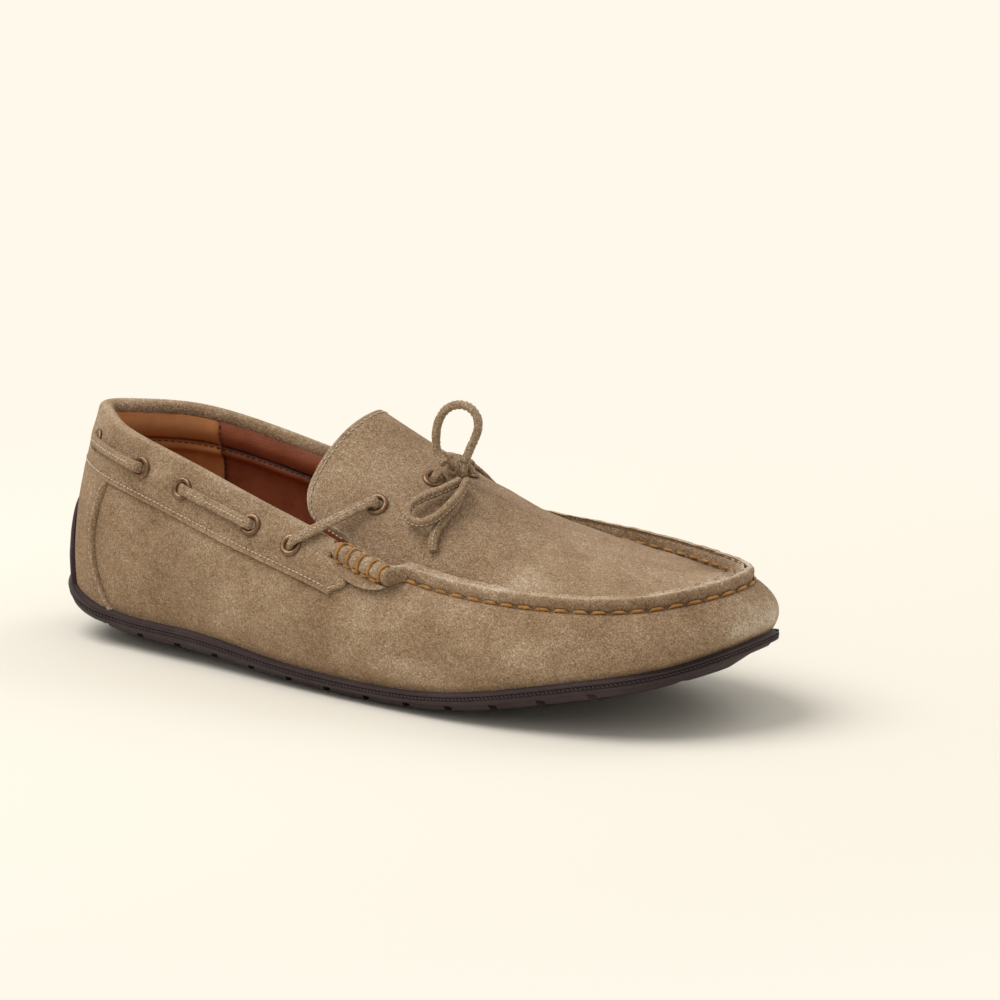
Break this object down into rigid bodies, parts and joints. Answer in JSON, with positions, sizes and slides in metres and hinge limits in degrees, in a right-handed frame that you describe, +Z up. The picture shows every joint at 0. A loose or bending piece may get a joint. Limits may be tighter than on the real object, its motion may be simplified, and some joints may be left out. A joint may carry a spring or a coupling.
{
  "type": "moccasin",
  "caption": "Right driving moccasin in suede with a raised toe seam, rolled side seams, collar lacing tied in a bow, and a cupped rubber sole with a heel tab.",
  "frame": {"origin": "middle of the outline's bounding box, on the ground plane", "axes": "+X from heel to toe, +Y to the medial (inner) side of a right foot, +Z up"},
  "size_m": [0.2825, 0.1061, 0.1002],
  "materials": {
    "suede": "tan suede, napped",
    "lining_leather": "smooth red-brown leather, satin",
    "lining_suede": "tan suede lining",
    "rubber": "moulded dark brown rubber, matt",
    "thread": "waxed ochre thread",
    "lace": "suede lace with cream stitching",
    "eyelet": "antique copper, burnished",
    "board": "pressed fibre board",
    "foam": "soft foam"
  },
  "bodies": {
    "shoe": {"apron": "suede", "apron_lining": "lining_leather", "beefroll_lateral": "suede", "beefroll_medial": "suede", "beefroll_thread_lateral": "thread", "beefroll_thread_medial": "thread", "bow_knot": "lace", "bow_loop_lower": "lace", "bow_loop_upper": "lace", "collar_band": "suede", "collar_foam": "foam", "eyelet_lateral_1": "eyelet", "eyelet_lateral_2": "eyelet", "eyelet_lateral_3": "eyelet", "eyelet_lateral_4": "eyelet", "eyelet_lateral_5": "eyelet", "eyelet_medial_1": "eyelet", "eyelet_medial_2": "eyelet", "eyelet_medial_3": "eyelet", "eyelet_medial_4": "eyelet", "eyelet_medial_5": "eyelet", "eyelet_tongue_inner_lateral": "eyelet", "eyelet_tongue_inner_medial": "eyelet", "eyelet_tongue_outer_lateral": "eyelet", "eyelet_tongue_outer_medial": "eyelet", "heel_cover": "suede", "heel_cushion": "foam", "heel_lining": "lining_suede", "heel_stiffener": "board", "insole_board": "board", "lace_collar": "lace", "lace_end_back": "lace", "lace_end_front": "lace", "lace_span_lateral": "lace", "lace_span_medial": "lace", "lace_under_lateral": "lace", "lace_under_medial": "lace", "outsole": "rubber", "quarter_lining_lateral": "lining_leather", "quarter_lining_medial": "lining_leather", "roll_patch_lateral": "suede", "roll_patch_medial": "suede", "seam_thread_inner": "thread", "seam_thread_outer": "thread", "sock_liner": "lining_suede", "vamp": "suede", "vamp_lining": "lining_leather"},
    "tongue_flap": {"tongue": "suede", "tongue_lining": "lining_leather"}
  },
  "joints": [
    {"name": "tongue_lift", "type": "hinge", "parent": "shoe", "child": "tongue_flap", "pos_m": [-0.0032, 0, 0.08], "axis": [0, 1, 0], "range_deg": [0, 15], "stiffness_Nm_per_rad": 0.01}
  ]
}
